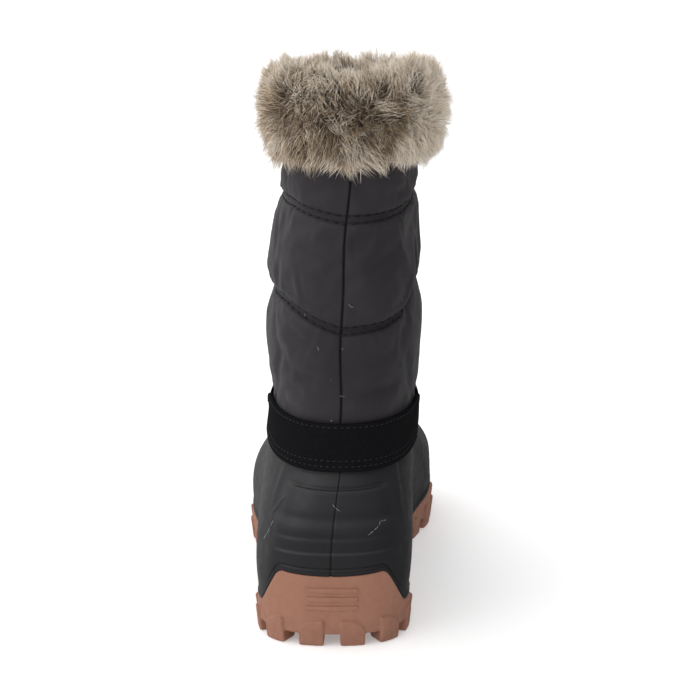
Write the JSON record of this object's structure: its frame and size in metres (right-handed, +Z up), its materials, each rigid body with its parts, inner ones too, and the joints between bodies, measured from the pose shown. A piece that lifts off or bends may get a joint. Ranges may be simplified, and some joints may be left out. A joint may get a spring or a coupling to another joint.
{
  "type": "snow boot",
  "caption": "Left pull-on snow boot with a lugged rubber outsole, moulded rubber shell, quilted shaft, sewn ankle band and deep fur cuff.",
  "frame": {"origin": "on the ground under the centre of the boot's bounding box", "axes": "+Z up the leg, +Y towards the toe, +X towards the inner side of the left foot"},
  "size_m": [0.1172, 0.2954, 0.29],
  "materials": {
    "sole_rubber": "matt gum rubber",
    "shell_rubber": "satin moulded rubber",
    "insole_felt": "felt",
    "quilted_nylon": "padded nylon with a slight sheen",
    "band_fabric": "matt napped fabric",
    "faux_fur": "deep pile, dark at the root"
  },
  "bodies": {
    "root": {"outsole": "sole_rubber", "shell": "shell_rubber", "insole": "insole_felt", "shaft": "quilted_nylon", "ankle_band": "band_fabric", "fur_cuff": "faux_fur"}
  },
  "joints": []
}
